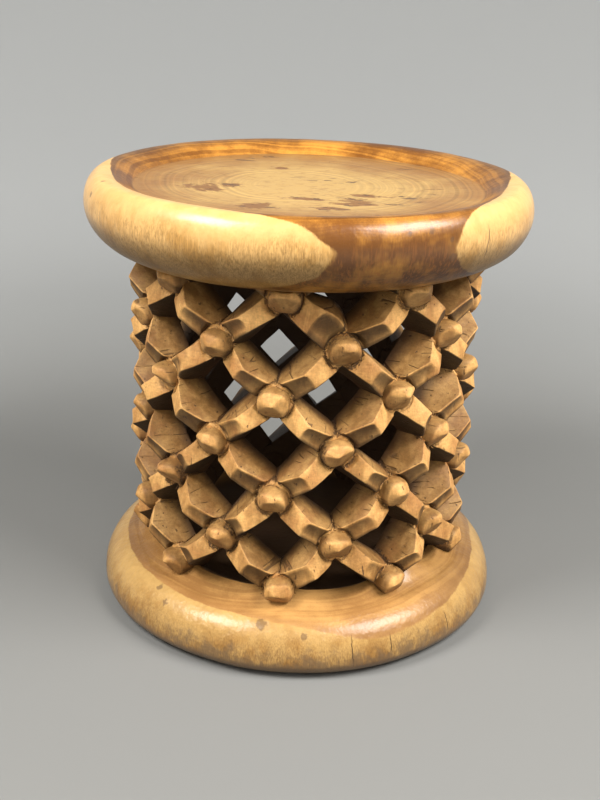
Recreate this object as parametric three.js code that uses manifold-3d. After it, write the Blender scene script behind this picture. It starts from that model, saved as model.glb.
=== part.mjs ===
// Carved one-piece stool: a dished round seat and a round base, joined by an openwork drum.
// The drum is a diamond lattice of kneed bars with a round stud on every crossing.
// Everything is cut from one log, so the whole stool is one solid. Millimetres, +Z up,
// origin on the floor at the middle of the base. Angles run from -Y (the front) towards +X.
import * as THREE from "three";
import { ConvexGeometry } from "three/addons/geometries/ConvexGeometry.js";
import { mergeVertices } from "three/addons/utils/BufferGeometryUtils.js";
import Module from "manifold-3d";

// Seat
const overallHeight = 355;
const seatRadius = 175;
const seatWidestHeight = 333;
const seatUndersideHeight = 298.5;
const seatUndersideRadius = 138;
const crestRadius = 161;
const dishEdgeRadius = 137;
const dishEdgeDepth = 10.5;
const dishFlatRadius = 62;
const dishDepth = 13;

// Base
const baseRadius = 168;
const baseWidestHeight = 13;
const baseFootRadius = 149;
const baseShoulderRadius = 139;
const baseShoulderHeight = 45;
const baseRidgeRadius = 118;
const baseRidgeHeight = 50;
const baseFloorRadius = 106;
const baseFloorHeight = 43;

// Openwork drum
const studsPerRow = 9;
const studRows = 7;
const topRowHeight = 290;
const rowPitch = 39;
const crossingRadius = 126;
const innerRadius = 105;
const kneeRadius = 141;
const kneeFromTop = 0.47;
const barWidth = 30;
const rootRadius = 84;
const footRadius = 132;
const footHalfWidth = 7;

// Diamond holes, half sizes at the drum's inside and at the knees
const holeInnerHalfWidth = 22;
const holeInnerHalfHeight = 19;
const holeOuterHalfWidth = 36.5;
const holeOuterHalfHeight = 33;

// The rows wander round the drum by a degree or so, as the carver set them out by eye.
const driftMiddle = -1.2;
const driftEnds = 2.5;
const driftCentreRow = 3.9;

// Studs
const studRootRadius = 116;
const studShoulderRadius = 139;
const studTipRadius = 147;
const studHalfWidth = 12.8;
const studHalfHeight = 11.6;
const studShoulderShare = 0.9;
const studSides = 6;

// Fineness
const turnSegments = 48;
const lowerArcSteps = 4;
const upperArcSteps = 3;

const wasm = await Module();
wasm.setup();

// Solids

function solidFrom(geometry) {
  geometry.deleteAttribute("normal");
  geometry.deleteAttribute("uv");
  const merged = mergeVertices(geometry, 1e-4);
  const corners = merged.index.array;
  const kept = [];
  for (let i = 0; i < corners.length; i += 3) {
    const [a, b, c] = [corners[i], corners[i + 1], corners[i + 2]];
    if (a !== b && b !== c && c !== a) kept.push(a, b, c);
  }
  return new wasm.Manifold(new wasm.Mesh({
    numProp: 3,
    vertProperties: new Float32Array(merged.attributes.position.array),
    triVerts: new Uint32Array(kept),
  }));
}

function geometryFrom(solid) {
  const mesh = solid.getMesh();
  const geometry = new THREE.BufferGeometry();
  geometry.setAttribute("position", new THREE.BufferAttribute(mesh.vertProperties, 3));
  geometry.setIndex(new THREE.BufferAttribute(mesh.triVerts, 1));
  geometry.computeVertexNormals();
  return geometry;
}

// Turned profiles

function ellipseArc(centre, halfWidth, halfHeight, fromDegrees, toDegrees, steps) {
  const points = [];
  for (let i = 0; i <= steps; i += 1) {
    const angle = THREE.MathUtils.degToRad(fromDegrees + ((toDegrees - fromDegrees) * i) / steps);
    points.push(new THREE.Vector2(
      centre.x + halfWidth * Math.cos(angle),
      centre.y + halfHeight * Math.sin(angle),
    ));
  }
  return points;
}

function turned(profile) {
  const geometry = new THREE.LatheGeometry(profile, turnSegments);
  geometry.rotateX(Math.PI / 2);
  return solidFrom(geometry);
}

function seat() {
  const lowerRim = ellipseArc(
    new THREE.Vector2(seatUndersideRadius, seatWidestHeight),
    seatRadius - seatUndersideRadius, seatWidestHeight - seatUndersideHeight, -90, 0, lowerArcSteps,
  );
  const upperRim = ellipseArc(
    new THREE.Vector2(crestRadius, seatWidestHeight),
    seatRadius - crestRadius, overallHeight - seatWidestHeight, 0, 90, upperArcSteps,
  );
  const slope = crestRadius - dishEdgeRadius;
  const dish = [
    new THREE.Vector2(crestRadius - slope * 0.2, overallHeight - dishEdgeDepth * 0.1),
    new THREE.Vector2(crestRadius - slope * 0.6, overallHeight - dishEdgeDepth * 0.58),
    new THREE.Vector2(dishEdgeRadius, overallHeight - dishEdgeDepth),
    new THREE.Vector2(dishFlatRadius, overallHeight - dishDepth),
    new THREE.Vector2(0, overallHeight - dishDepth),
  ];
  const underside = [new THREE.Vector2(0, seatUndersideHeight)];
  return turned([...underside, ...lowerRim, ...upperRim.slice(1), ...dish]);
}

function base() {
  const lowerRim = ellipseArc(
    new THREE.Vector2(baseFootRadius, baseWidestHeight),
    baseRadius - baseFootRadius, baseWidestHeight, -90, 0, lowerArcSteps - 1,
  );
  const upperRim = ellipseArc(
    new THREE.Vector2(baseShoulderRadius, baseWidestHeight),
    baseRadius - baseShoulderRadius, baseShoulderHeight - baseWidestHeight, 0, 90, lowerArcSteps,
  );
  const floor = [
    new THREE.Vector2(baseRidgeRadius, baseRidgeHeight),
    new THREE.Vector2(baseFloorRadius, baseFloorHeight),
    new THREE.Vector2(0, baseFloorHeight),
  ];
  return turned([new THREE.Vector2(0, 0), ...lowerRim, ...upperRim.slice(1), ...floor]);
}

// Lattice

const halfTurn = Math.PI / studsPerRow;

function drift(row) {
  const fromCentre = (row - driftCentreRow) / 3;
  return THREE.MathUtils.degToRad(driftMiddle + driftEnds * fromCentre * fromCentre);
}

// A crossing's place: its angle round the drum and its height. Every second row is
// turned by half a step, and rows 0 and 8 lie hidden inside the seat and the base.
function crossing(row, place) {
  const halfSteps = (2 * place + (row % 2 === 0 ? 1 : 0) + 2 * studsPerRow) % (2 * studsPerRow);
  return { angle: halfSteps * halfTurn + drift(row), height: topRowHeight - (row - 1) * rowPitch };
}

// The point at a radius, moved sideways round the drum and upwards from there.
function drumPoint(angle, height, radius, sideways, upwards) {
  const outward = new THREE.Vector3(Math.sin(angle), -Math.cos(angle), 0);
  const round = new THREE.Vector3(Math.cos(angle), Math.sin(angle), 0);
  return outward.multiplyScalar(radius).addScaledVector(round, sideways)
    .add(new THREE.Vector3(0, 0, height + upwards));
}

// Both edges of a bar at one station: side is +1 for a bar that falls towards +X.
function barEdges(angle, height, radius, side) {
  const across = new THREE.Vector2(side * rowPitch, (radius * Math.PI) / studsPerRow);
  across.setLength(barWidth / 2);
  return [
    drumPoint(angle, height, radius, across.x, across.y),
    drumPoint(angle, height, radius, -across.x, -across.y),
  ];
}

// One bar from a crossing down to its neighbour in the next row. Its outer face rises to
// a sharp knee near the middle. It is left too wide, and the holes cut its flat sides.
function bar(row, place, side) {
  const top = crossing(row, place);
  const nextPlace = row % 2 === 0 ? place + (side + 1) / 2 : place + (side - 1) / 2;
  const below = crossing(row + 1, nextPlace);
  const knee = {
    angle: top.angle + kneeFromTop * (side * halfTurn + drift(row + 1) - drift(row)),
    height: top.height - rowPitch * kneeFromTop,
  };
  const points = [
    ...barEdges(top.angle, top.height, crossingRadius, side),
    ...barEdges(top.angle, top.height, rootRadius, side),
    ...barEdges(knee.angle, knee.height, kneeRadius, side),
    ...barEdges(below.angle, below.height, crossingRadius, side),
    ...barEdges(below.angle, below.height, rootRadius, side),
  ];
  return solidFrom(new ConvexGeometry(points));
}

// The short foot that joins a crossing of the last row to the base's ridge.
function foot(place) {
  const { angle, height } = crossing(studRows, place);
  const points = [];
  for (const radius of [innerRadius - 4, footRadius]) {
    for (const upwards of [0, baseFloorHeight - height - 4]) {
      points.push(drumPoint(angle, height, radius, -footHalfWidth, upwards));
      points.push(drumPoint(angle, height, radius, footHalfWidth, upwards));
    }
  }
  return solidFrom(new ConvexGeometry(points));
}

// The hollow inside the drum, from the base's floor to the seat's underside.
function hollow() {
  const geometry = new THREE.CylinderGeometry(innerRadius, innerRadius, overallHeight, 2 * studsPerRow);
  geometry.rotateX(Math.PI / 2);
  geometry.translate(0, 0, overallHeight / 2);
  return solidFrom(geometry);
}

// The cutter of one diamond hole, beside its crossing: four flat sides that open outwards.
function hole(row, place) {
  const { angle, height } = crossing(row, place);
  const neighbours = (drift(row - 1) + drift(row + 1)) / 2;
  const middle = angle + halfTurn + (neighbours - drift(row)) / 2;
  const points = [];
  for (const radius of [innerRadius - 14, kneeRadius + 14]) {
    const share = (radius - innerRadius) / (kneeRadius - innerRadius);
    const halfWidth = THREE.MathUtils.lerp(holeInnerHalfWidth, holeOuterHalfWidth, share);
    const halfHeight = THREE.MathUtils.lerp(holeInnerHalfHeight, holeOuterHalfHeight, share);
    for (const way of [-1, 1]) {
      points.push(drumPoint(middle, height, radius, way * halfWidth, 0));
      points.push(drumPoint(middle, height, radius, 0, way * halfHeight));
    }
  }
  return solidFrom(new ConvexGeometry(points));
}

// A round stud with a low faceted tip, standing straight out of its crossing.
function stud(row, place) {
  const { angle, height } = crossing(row, place);
  const points = [drumPoint(angle, height, studTipRadius, 0, 0)];
  for (let i = 0; i < studSides; i += 1) {
    const turn = ((i + 0.5) * 2 * Math.PI) / studSides;
    const sideways = studHalfWidth * Math.cos(turn);
    const upwards = studHalfHeight * Math.sin(turn);
    points.push(drumPoint(angle, height, studRootRadius, sideways, upwards));
    points.push(drumPoint(
      angle, height, studShoulderRadius, sideways * studShoulderShare, upwards * studShoulderShare,
    ));
  }
  return solidFrom(new ConvexGeometry(points));
}

function lattice() {
  const bars = [];
  const holes = [];
  const studs = [];
  for (let place = 0; place < studsPerRow; place += 1) {
    for (let row = 0; row < studRows; row += 1) {
      bars.push(bar(row, place, -1), bar(row, place, 1));
      holes.push(hole(row + 1, place));
      studs.push(stud(row + 1, place));
    }
    bars.push(foot(place));
  }
  const joined = (solids) => solids.reduce((whole, solid) => whole.add(solid));
  return joined(bars).subtract(hollow()).subtract(joined(holes)).add(joined(studs));
}

// The stool

const body = seat().add(base()).add(lattice());

const wood = new THREE.MeshStandardMaterial({ color: 0xb07a42, roughness: 0.55, metalness: 0 });
const stool = new THREE.Mesh(geometryFrom(body), wood);
stool.name = "stool";

const group = new THREE.Group();
group.add(stool);
export default group;
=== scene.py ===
"""Round carved stool: a dished seat, an openwork drum and a base, cut from one log.

Shapes are worked out in millimetres and become metres when a mesh is made. Angles are
degrees round the log, from the front (-Y) towards +X.
"""
import itertools

import bpy
import numpy as np
from mathutils import Matrix, Vector


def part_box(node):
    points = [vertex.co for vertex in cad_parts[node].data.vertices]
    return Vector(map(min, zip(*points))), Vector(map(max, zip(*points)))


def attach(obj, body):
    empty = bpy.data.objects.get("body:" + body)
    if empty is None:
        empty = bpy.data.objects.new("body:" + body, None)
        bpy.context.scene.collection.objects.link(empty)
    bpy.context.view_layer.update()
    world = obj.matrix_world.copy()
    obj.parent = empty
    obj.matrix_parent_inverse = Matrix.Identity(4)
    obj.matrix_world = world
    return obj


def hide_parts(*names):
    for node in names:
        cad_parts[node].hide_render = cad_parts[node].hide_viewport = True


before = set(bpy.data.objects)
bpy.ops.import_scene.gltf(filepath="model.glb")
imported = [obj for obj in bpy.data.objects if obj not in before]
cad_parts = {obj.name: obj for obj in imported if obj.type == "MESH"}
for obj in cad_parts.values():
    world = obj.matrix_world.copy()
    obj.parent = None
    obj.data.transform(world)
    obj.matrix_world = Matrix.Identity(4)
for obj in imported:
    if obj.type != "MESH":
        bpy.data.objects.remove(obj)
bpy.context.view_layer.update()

METRE = 1000.0
FRAME_HIGH = np.array(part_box("stool")[1]) * METRE
# The hand finish may stand this far out of a turned form
FINISH_ALLOWANCE = 0.6

# Seat
HEIGHT = FRAME_HIGH[2]
SEAT_RADIUS = FRAME_HIGH[0] - FINISH_ALLOWANCE
SEAT_WIDEST = 333.0
SEAT_UNDERSIDE = 298.5
SEAT_UNDERSIDE_RADIUS = 138.0
CREST_RADIUS = 161.0
DISH_EDGE_RADIUS = 137.0
DISH_EDGE_DEPTH = 10.5
DISH_FLAT_RADIUS = 62.0
DISH_DEPTH = 13.0

# Base
BASE_RADIUS = 167.6
BASE_WIDEST = 13.0
BASE_FOOT_RADIUS = 149.0
BASE_SHOULDER_RADIUS = 139.0
BASE_SHOULDER_HEIGHT = 45.0
BASE_RIDGE_RADIUS = 118.0
BASE_RIDGE_HEIGHT = 50.0
BASE_FLOOR_RADIUS = 106.0
BASE_FLOOR_HEIGHT = 43.0

# Openwork drum
STUDS_PER_ROW = 9
STUD_ROWS = 7
TOP_ROW = 290.0
ROW_PITCH = 39.0
HALF_STEP = 180.0 / STUDS_PER_ROW
CROSSING_RADIUS = 126.0
INNER_RADIUS = 105.0
KNEE_RADIUS = 141.0
KNEE_FROM_TOP = 0.47
KNEE_BOW = 0.028
# From one crossing to the next along a bar
BAR_LENGTH = 58.8

# Half sizes of the diamond holes at the drum's inside and at the knees. Inside they sit
# lower, and a drop moves their slanting sides by a share of it.
HOLE_INNER = np.array([22.0, 18.5])
HOLE_OUTER = np.array([36.5, 33.0])
HOLE_DROP = 3.0
DROP_ACROSS = 0.7
# The holes are narrower at the back, and the bars thinner at the front. The fades are the
# angle where they start and their length.
BACK_NARROWING = 1.9
BACK_FADE = (95.0, 40.0)
FRONT_THINNING = 3.5
FRONT_FADE = (60.0, 40.0)

# The rows wander by a degree or so, as they were set out by eye
DRIFT_MIDDLE = -1.2
DRIFT_ENDS = 2.5
DRIFT_CENTRE_ROW = 3.9
DRIFT_ROWS = 3.0
DRIFT_BACK = 1.4
DRIFT_LEFT = -2.2
DRIFT_LEFT_ANGLE = -42.0
DRIFT_LEFT_WIDTH = 28.0
DRIFT_LEFT_ROWS = 5.0

# Crossings that stand off their place: row, place and degrees
NUDGES = (
    (1, 1, 2.6), (3, 1, 1.0), (5, 1, 1.2), (4, 1, -1.2), (6, 1, -2.2),
    (4, 0, 0.7), (4, 8, -1.1), (6, 8, 1.1), (3, 8, -1.2), (7, 8, -1.6),
    (2, 5, 3.5), (3, 5, 3.0), (4, 5, 2.0), (2, 4, 2.5), (3, 4, 1.5),
)
# Bars that were left wide above, near the knee: row, place, lean and millimetres
WIDE_BARS = ((1, 0, 1, 9.0),)
WIDEST_STATION = 1.2
WIDE_REACH = 0.6

NOISE_CELLS = 48


def noise(points, cell, seed):
    """Smooth random field from -1 to 1.

    Random values sit on a cubic lattice with the given cell, and each point takes a
    smoothstep blend of the eight around it.
    """
    table = np.random.default_rng(seed).uniform(-1.0, 1.0, (NOISE_CELLS,) * 3)
    scaled = points / cell
    low = np.floor(scaled).astype(int)
    share = scaled - low
    share = share * share * (3.0 - 2.0 * share)
    total = np.zeros(points.shape[:-1])
    for corner in itertools.product((0, 1), repeat=3):
        weight = np.prod(np.where(corner, share, 1.0 - share), axis=-1)
        index = (low + corner) % NOISE_CELLS
        total += weight * table[index[..., 0], index[..., 1], index[..., 2]]
    return total


def unevenness(points, layers):
    """Sum of noise layers, each a height, a cell and a seed."""
    return sum(height * noise(points, cell, seed) for height, cell, seed in layers)


def wobbled(points, layers):
    """The points moved each way by noise layers: a height, a cell and the first of three
    seeds."""
    moved = points
    for height, cell, seed in layers:
        ways = [noise(points, cell, seed + axis) for axis in range(3)]
        moved = moved + height * np.stack(ways, axis=-1)
    return moved


def ease(share):
    """Smoothstep: 0 at 0, 1 at 1, level at both ends."""
    share = np.clip(share, 0.0, 1.0)
    return share * share * (3.0 - 2.0 * share)


def fade(angle, start, length):
    """Smoothstep of the distance from the front, in degrees."""
    return ease((np.abs(turn_between(angle, 0.0)) - start) / length)


def bell(offset, width):
    """Gaussian hump of height 1 and the given half width."""
    return np.exp(-((offset / width) ** 2))


def turn_between(angle, other):
    """Signed difference of two angles, from -180 to 180 degrees."""
    return (angle - other + 180.0) % 360.0 - 180.0


def outward(angle):
    """Unit vector from the log's axis at the angle."""
    turn = np.radians(angle)
    return np.stack([np.sin(turn), -np.cos(turn), np.zeros_like(turn)], axis=-1)


def sideways(angle):
    """Unit vector round the log, towards growing angles."""
    turn = np.radians(angle)
    return np.stack([np.cos(turn), np.sin(turn), np.zeros_like(turn)], axis=-1)


def angle_of(points):
    """Angle of each point round the log."""
    return np.degrees(np.arctan2(points[..., 0], -points[..., 1]))


# Meshes


def closed_shells(points):
    """Vertices and faces of grids shaped (shell, row, column), closed round the columns.

    Each end row is closed by a fan to its mean point, and the faces are turned so that
    the enclosed volume is positive.
    """
    count, rows, columns = points.shape[:3]
    grid = np.arange(count * rows * columns).reshape(count, rows, columns)
    right = np.roll(grid, -1, axis=2)
    quads = np.stack([grid[:, :-1], right[:, :-1], right[:, 1:], grid[:, 1:]], axis=-1)
    poles = grid.size + np.arange(2 * count).reshape(count, 2, 1) + np.zeros(columns, int)
    first = np.stack([right[:, 0], grid[:, 0], poles[:, 0]], axis=-1).reshape(-1, 3)
    last = np.stack([grid[:, -1], right[:, -1], poles[:, 1]], axis=-1).reshape(-1, 3)
    ends = points[:, [0, -1]].mean(axis=2).reshape(-1, 3)
    vertices = np.concatenate([points.reshape(-1, 3), ends])
    faces = [quads.reshape(-1, 4), first, last]
    if enclosed_volume(vertices, faces) < 0.0:
        faces = [group[:, ::-1] for group in faces]
    return vertices, faces


def enclosed_volume(vertices, faces):
    """Sum of the signed tetrahedra between the origin and each face's fan of triangles."""
    total = 0.0
    for group in faces:
        corner = vertices[group]
        for k in range(1, group.shape[1] - 1):
            total += np.einsum("ij,ij->", corner[:, 0], np.cross(corner[:, k], corner[:, k + 1]))
    return total / 6.0


def make_mesh(name, vertices, faces):
    """A Blender mesh in metres from millimetre vertices and lists of equal-sided faces."""
    mesh = bpy.data.meshes.new(name)
    corners = np.concatenate([group.ravel() for group in faces])
    sizes = np.concatenate([np.full(len(group), group.shape[1]) for group in faces])
    mesh.vertices.add(len(vertices))
    mesh.vertices.foreach_set("co", (vertices / METRE).ravel())
    mesh.loops.add(len(corners))
    mesh.loops.foreach_set("vertex_index", corners)
    mesh.polygons.add(len(sizes))
    mesh.polygons.foreach_set("loop_start", np.cumsum(sizes) - sizes)
    mesh.update(calc_edges=True)
    mesh.validate()
    return mesh


def make_object(mesh):
    """A linked object at the origin."""
    piece = bpy.data.objects.new(mesh.name, mesh)
    bpy.context.collection.objects.link(piece)
    return piece


def positions(mesh):
    """Vertex positions in millimetres."""
    places = np.empty(len(mesh.vertices) * 3)
    mesh.vertices.foreach_get("co", places)
    return places.reshape(-1, 3) * METRE


def store(mesh, name, values):
    """A float attribute, one value for each vertex."""
    attribute = mesh.attributes.new(name, "FLOAT", "POINT")
    attribute.data.foreach_set("value", values.astype(np.float32))


def unite(name, meshes):
    """One closed body from overlapping closed ones, by manifold Boolean joins."""
    first, *others = [make_object(mesh) for mesh in meshes]
    for other in others:
        join = first.modifiers.new("join", "BOOLEAN")
        join.operation = "UNION"
        join.solver = "MANIFOLD"
        join.object = other
    depsgraph = bpy.context.evaluated_depsgraph_get()
    solid = bpy.data.meshes.new_from_object(first.evaluated_get(depsgraph))
    solid.name = name
    for part in (first, *others):
        data = part.data
        bpy.data.objects.remove(part)
        bpy.data.meshes.remove(data)
    return solid


def crispness(mesh, passes=2):
    """How far each vertex stands out of its neighbours: above 0 on edges, below 0 in creases.

    The mean offset to the neighbours is measured against the normal and divided by the
    mean edge length, then averaged over the neighbours.
    """
    places = positions(mesh)
    normals = vertex_normals(mesh)
    ends = np.empty(len(mesh.edges) * 2, np.int32)
    mesh.edges.foreach_get("vertices", ends)
    start, stop = ends.reshape(-1, 2).T
    count = np.bincount(start, minlength=len(places)) + np.bincount(stop, minlength=len(places))
    count = np.maximum(count, 1)
    step = places[stop] - places[start]
    length = np.linalg.norm(step, axis=1) + 1e-6
    rise = -np.einsum("ij,ij->i", step, normals[start]) / length
    fall = np.einsum("ij,ij->i", step, normals[stop]) / length
    value = np.bincount(start, rise, len(places)) + np.bincount(stop, fall, len(places))
    value /= count
    for _ in range(passes):
        total = np.bincount(start, value[stop], len(places))
        total = total + np.bincount(stop, value[start], len(places))
        value = 0.5 * value + 0.5 * total / count
    return value


def grid_normals(points):
    """Unit normals of a grid (row, column) closed round its columns."""
    along = np.gradient(points, axis=0)
    around = np.roll(points, -1, axis=1) - np.roll(points, 1, axis=1)
    normals = np.cross(around, along)
    return normals / np.linalg.norm(normals, axis=-1, keepdims=True)


# The log


# The dark heartwood's radius: a mean, and a bulge at the front. Of each pair the first
# value holds for the base and the second for the seat.
HEART_MEAN = (148.5, 152.6)
HEART_SWAY = 1.2
HEART_LOBES = 3.0
BLEND_START = 100.0
BLEND_HEIGHT = 150.0
BULGE_ANGLE = (33.0, 30.0)
BULGE_HEIGHT = (15.0, 30.0)
BULGE_LEFT_WIDTH = (23.0, 30.0)
BULGE_RIGHT_WIDTH = (44.0, 23.0)
BACK_HEIGHT = 12.0
BACK_START = 92.0
BACK_FULL = 125.0
# In the seat it starts earlier, on the left and on the right
SEAT_BACK_LEAD = (20.0, 6.0)
SEAT_TAPER_LEFT = 0.11
SEAT_TAPER_LOSS = 0.0022
SEAT_TAPER_TOP = 343.0


def heart_radius(points):
    """Radius of the dark heartwood at each point: values for the base blend into those for
    the seat, and under the seat's rim the radius shrinks downwards on the left."""
    angle = angle_of(points)
    share = ease((points[..., 2] - BLEND_START) / BLEND_HEIGHT)
    mean, centre, height, left, right = (
        low + (high - low) * share
        for low, high in (HEART_MEAN, BULGE_ANGLE, BULGE_HEIGHT, BULGE_LEFT_WIDTH, BULGE_RIGHT_WIDTH)
    )
    offset = turn_between(angle, centre)
    bulge = height * bell(offset, np.where(offset < 0.0, left, right))
    lead = np.where(angle < 0.0, *SEAT_BACK_LEAD) * share
    back = BACK_HEIGHT * ease((np.abs(angle) + lead - BACK_START) / (BACK_FULL - BACK_START))
    taper = np.clip(SEAT_TAPER_LEFT - SEAT_TAPER_LOSS * np.maximum(angle, 0.0), 0.0, 1.0)
    under = taper * np.maximum(SEAT_TAPER_TOP - points[..., 2], 0.0) * share
    return mean + bulge + back + HEART_SWAY * np.cos(np.radians(HEART_LOBES * angle)) - under


def vertex_normals(mesh):
    """Unit normals of the vertices."""
    normals = np.empty(len(mesh.vertices) * 3, np.float32)
    mesh.vertex_normals.foreach_get("vector", normals)
    return normals.reshape(-1, 3)


def store_log(mesh):
    """For each vertex, the depth outside the heartwood in metres, the crispness, and how far
    it faces the log's axis and the ground."""
    places = positions(mesh)
    normals = vertex_normals(mesh)
    depth = np.hypot(places[:, 0], places[:, 1]) - heart_radius(places)
    store(mesh, "sap_depth", depth / METRE)
    store(mesh, "crisp", crispness(mesh))
    store(mesh, "inward", -(outward(angle_of(places)) * normals).sum(axis=1))
    store(mesh, "downward", -normals[:, 2])


# Turned forms


def arc(centre, half_width, half_height, start, stop, count):
    """Ellipse points: the centre plus the half sizes times cosine and sine of even angles."""
    turn = np.radians(np.linspace(start, stop, count))
    across = centre[0] + half_width * np.cos(turn)
    return np.column_stack([across, centre[1] + half_height * np.sin(turn)])


def line(start, stop, count):
    """Evenly spaced points, without the last."""
    return np.linspace(start, stop, count, endpoint=False)


def rim(lower, widest, upper, below_count, above_count):
    """Two quarter ellipses through points of (radius, height): from the lower one out to the
    widest, and from there up to the upper one."""
    below_size = (widest[0] - lower[0], widest[1] - lower[1])
    above_size = (widest[0] - upper[0], upper[1] - widest[1])
    below = arc((lower[0], widest[1]), *below_size, -90, 0, below_count)
    above = arc((upper[0], widest[1]), *above_size, 0, 90, above_count)
    return np.concatenate([below, above[1:]])


def turned(profile, angles):
    """The profile of (radius, height) carried round the log: a grid (row, column, 3)."""
    ring = outward(angles)
    points = profile[:, None, :1] * ring[None]
    points[..., 2] += profile[:, None, 1]
    return points


COLUMNS = 480
POLE_RADIUS = 2.5
# Heights, cells and seeds of the hand finish
SEAT_FINISH = ((0.45, 70.0, 1), (0.16, 24.0, 2), (0.05, 9.0, 3))
BASE_FINISH = ((0.6, 60.0, 11), (0.25, 22.0, 12), (0.06, 8.0, 13))


def seat_profile():
    """Underside, two quarter ellipses for the rim, a sine rise for the dish's side and a
    smoothstep fall to its flat middle."""
    lower = (SEAT_UNDERSIDE_RADIUS, SEAT_UNDERSIDE)
    crest = (CREST_RADIUS, HEIGHT - FINISH_ALLOWANCE)
    under = line((POLE_RADIUS, SEAT_UNDERSIDE), lower, count=10)
    edge = rim(lower, (SEAT_RADIUS, SEAT_WIDEST), crest, below_count=42, above_count=26)
    share = np.linspace(1.0, 0.0, 18)[1:]
    rise = (DISH_EDGE_DEPTH - FINISH_ALLOWANCE) * np.sin(0.5 * np.pi * share)
    out = DISH_EDGE_RADIUS + (CREST_RADIUS - DISH_EDGE_RADIUS) * share
    side = np.column_stack([out, HEIGHT - DISH_EDGE_DEPTH + rise])
    radius = np.linspace(DISH_EDGE_RADIUS, POLE_RADIUS, 56)[1:]
    slope = ease((radius - DISH_FLAT_RADIUS) / (DISH_EDGE_RADIUS - DISH_FLAT_RADIUS))
    rise = (DISH_DEPTH - DISH_EDGE_DEPTH) * slope
    floor = np.column_stack([radius, HEIGHT - DISH_DEPTH + rise])
    return np.concatenate([under, edge, side, floor])


def seat_mesh():
    """The turned profile, moved along its normals by slow and quick unevenness of the hand
    finish."""
    points = turned(seat_profile(), line(0.0, 360.0, COLUMNS))
    uneven = unevenness(points, SEAT_FINISH)
    points = points + grid_normals(points) * uneven[..., None]
    return make_mesh("seat", *closed_shells(points[None]))


# Swells of the base's ridge: angle, radius, height, half width in degrees and in
# millimetres. They fade in above a height, and the hand finish dies out at the foot.
BASE_SWELLS = (
    (54.0, 119.0, 12.0, 8.0, 11.0),
    *((place * 2.0 * HALF_STEP, 121.0, 3.5, 7.0, 9.0) for place in range(STUDS_PER_ROW)),
)
SWELL_START = 38.0
SWELL_FADE = 4.0
FOOT_FADE = 8.0


def base_profile():
    """Foot, two quarter ellipses for the rim, a slope up to the drum's foot, and the floor."""
    shoulder = (BASE_SHOULDER_RADIUS, BASE_SHOULDER_HEIGHT)
    ridge = (BASE_RIDGE_RADIUS, BASE_RIDGE_HEIGHT)
    floor_edge = (BASE_FLOOR_RADIUS, BASE_FLOOR_HEIGHT)
    lower = (BASE_FOOT_RADIUS, 0.0)
    foot = line((POLE_RADIUS, 0.0), lower, count=8)
    edge = rim(lower, (BASE_RADIUS, BASE_WIDEST), shoulder, below_count=18, above_count=44)
    slope = line(shoulder, ridge, count=16)[1:]
    inner = line(ridge, floor_edge, count=8)
    floor = line(floor_edge, (POLE_RADIUS, BASE_FLOOR_HEIGHT), count=12)
    return np.concatenate([foot, edge, slope, inner, floor])


def base_mesh():
    """The turned profile with an uneven hand finish that dies out at the foot."""
    points = turned(base_profile(), line(0.0, 360.0, COLUMNS))
    uneven = unevenness(points, BASE_FINISH) * ease(points[..., 2] / FOOT_FADE)
    points = points + grid_normals(points) * uneven[..., None]
    radius = np.hypot(points[..., 0], points[..., 1])
    top = ease((points[..., 2] - SWELL_START) / SWELL_FADE)
    for angle, place, height, turn_width, width in BASE_SWELLS:
        around = bell(turn_between(angle_of(points), angle), turn_width)
        points[..., 2] += height * around * bell(radius - place, width) * top
    return make_mesh("base", *closed_shells(points[None]))


# Openwork


def drift(row):
    """Degrees by which a row is turned."""
    return DRIFT_MIDDLE + DRIFT_ENDS * ((row - DRIFT_CENTRE_ROW) / DRIFT_ROWS) ** 2


def crossing_angle(row, place):
    """Angle of a crossing: every second row is turned by half a step. The crossings stand a
    little off at the back, and on the left in the upper rows, and some are nudged alone."""
    angle = (2 * place + (row % 2 == 0)) * HALF_STEP
    back = 0.5 * DRIFT_BACK * (1.0 - np.cos(np.radians(angle)))
    left = DRIFT_LEFT * bell(turn_between(angle, DRIFT_LEFT_ANGLE), DRIFT_LEFT_WIDTH)
    upper = np.clip((STUD_ROWS - row) / DRIFT_LEFT_ROWS, 0.0, 1.0)
    angle = angle + drift(row) + back + left * upper
    place = np.mod(place, STUDS_PER_ROW)
    for nudged_row, nudged_place, degrees in NUDGES:
        angle = angle + degrees * ((row == nudged_row) & (place == nudged_place))
    return angle


def crossing_height(row):
    """Height of a row of crossings."""
    return TOP_ROW - (row - 1) * ROW_PITCH


def half_width(share, radius):
    """Distance from a bar's centre line to the hole beside it.

    At each radius the hole is a diamond on the unrolled drum. The perpendicular through the
    bar's point at the share of its length meets the diamond's side there.
    """
    run = np.radians(HALF_STEP) * radius
    length = np.hypot(run, ROW_PITCH)
    outwards = (radius - INNER_RADIUS) / (KNEE_RADIUS - INNER_RADIUS)
    hole_width = HOLE_INNER[0] + (HOLE_OUTER[0] - HOLE_INNER[0]) * outwards
    hole_height = HOLE_INNER[1] + (HOLE_OUTER[1] - HOLE_INNER[1]) * outwards
    side = hole_width * run + ROW_PITCH * hole_height
    along = (share * length ** 2 - (run - hole_width) * run) / side
    gap = (run - hole_width) * ROW_PITCH + along * (ROW_PITCH * hole_width - run * hole_height)
    return gap / length


# How the corners of a bar are rounded: three points, aside and inwards of the corner
CORNER = ((0.0, 1.0), (0.29, 0.29), (1.0, 0.0))


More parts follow.
